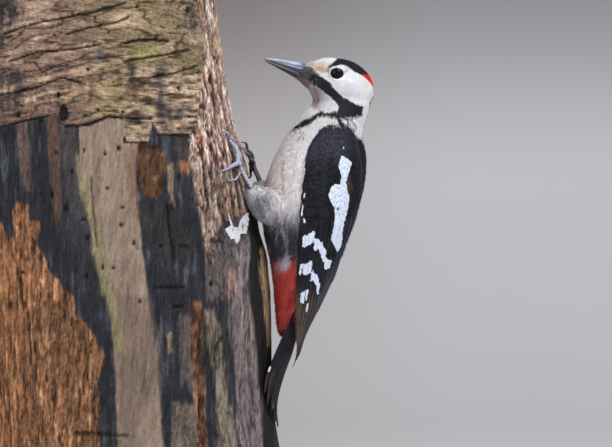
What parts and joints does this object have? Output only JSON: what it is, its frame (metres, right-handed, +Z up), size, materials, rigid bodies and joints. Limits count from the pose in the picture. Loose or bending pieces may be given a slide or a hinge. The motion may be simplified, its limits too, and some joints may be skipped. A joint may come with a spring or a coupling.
{
  "type": "woodpecker on a trunk, still model on a stand",
  "caption": "Life-size still model of a black, white and red woodpecker clinging upright to a short cut length of dead trunk on a plain stand.",
  "frame": {"origin": "middle of the display base's underside", "axes": "+Z up, +X from the trunk towards the bird's back, +Y towards the bird's right side"},
  "size_m": [0.232, 0.16, 0.306],
  "materials": {
    "plumage_pale": "soft short feathers, cream-white",
    "plumage_dark": "glossy blue-black feathers with white spots and bars",
    "plumage_belly": "loose grey thigh feathers",
    "bill_horn": "smooth slate-grey horn, paler along the top",
    "eye": "wet, near-black eye",
    "foot_scales": "scaly slate-grey skin",
    "claw_horn": "smooth grey horn",
    "dead_wood": "weathered, barkless, rotten and cracked wood",
    "stand_base": "wood, stained dark, satin",
    "stand_rods": "brushed steel rod"
  },
  "bodies": {
    "root": {"head": "plumage_pale", "neck": "plumage_pale", "torso": "plumage_pale", "bill_upper": "bill_horn", "bill_lower": "bill_horn", "eye_left": "eye", "eye_right": "eye", "wing_left": "plumage_dark", "wing_right": "plumage_dark", "tail": "plumage_dark", "thigh_left": "plumage_belly", "thigh_right": "plumage_belly", "tarsus_left": "foot_scales", "tarsus_right": "foot_scales", "foot_left": "foot_scales", "foot_right": "foot_scales", "claw_left_1": "claw_horn", "claw_left_2": "claw_horn", "claw_left_3": "claw_horn", "claw_left_4": "claw_horn", "claw_right_1": "claw_horn", "claw_right_2": "claw_horn", "claw_right_3": "claw_horn", "claw_right_4": "claw_horn", "perch_log": "dead_wood", "stand_base": "stand_base", "stand_rod_near_bird": "stand_rods", "stand_rod_far_side": "stand_rods"}
  },
  "joints": []
}
